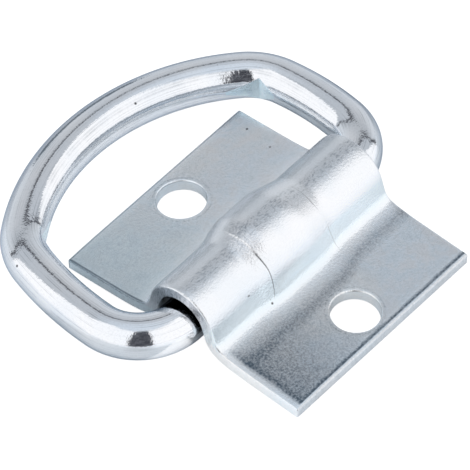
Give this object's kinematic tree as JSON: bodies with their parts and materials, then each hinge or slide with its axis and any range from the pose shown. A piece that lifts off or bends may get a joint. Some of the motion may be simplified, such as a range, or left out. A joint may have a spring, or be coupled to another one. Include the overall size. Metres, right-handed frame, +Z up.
{
  "type": "bolt-on d ring tie down",
  "caption": "Pressed steel saddle plate bolted down through its flanges, holding a bent round-bar D ring that swings over from side to side.",
  "frame": {"origin": "middle of the base of the whole part, with the ring lying down behind the plate", "axes": "+X across the plate from the ring's bow to the front flange, +Y along the saddle and the ring's pin, +Z up from the surface that the plate is bolted to"},
  "size_m": [0.0704, 0.0702, 0.0146],
  "materials": {
    "zinc_sheet": "bright zinc plated pressed sheet steel, satin with a fine grain",
    "zinc_bar": "bright zinc plated round bar, glossy"
  },
  "bodies": {
    "bracket": {"bracket": "zinc_sheet"},
    "ring": {"d_ring": "zinc_bar"}
  },
  "joints": [
    {"name": "ring_swing", "type": "hinge", "parent": "bracket", "child": "ring", "pos_m": [0.00959, 0.0002, 0.00489], "axis": [0, 1, 0], "range_deg": [0, 182.5]}
  ]
}
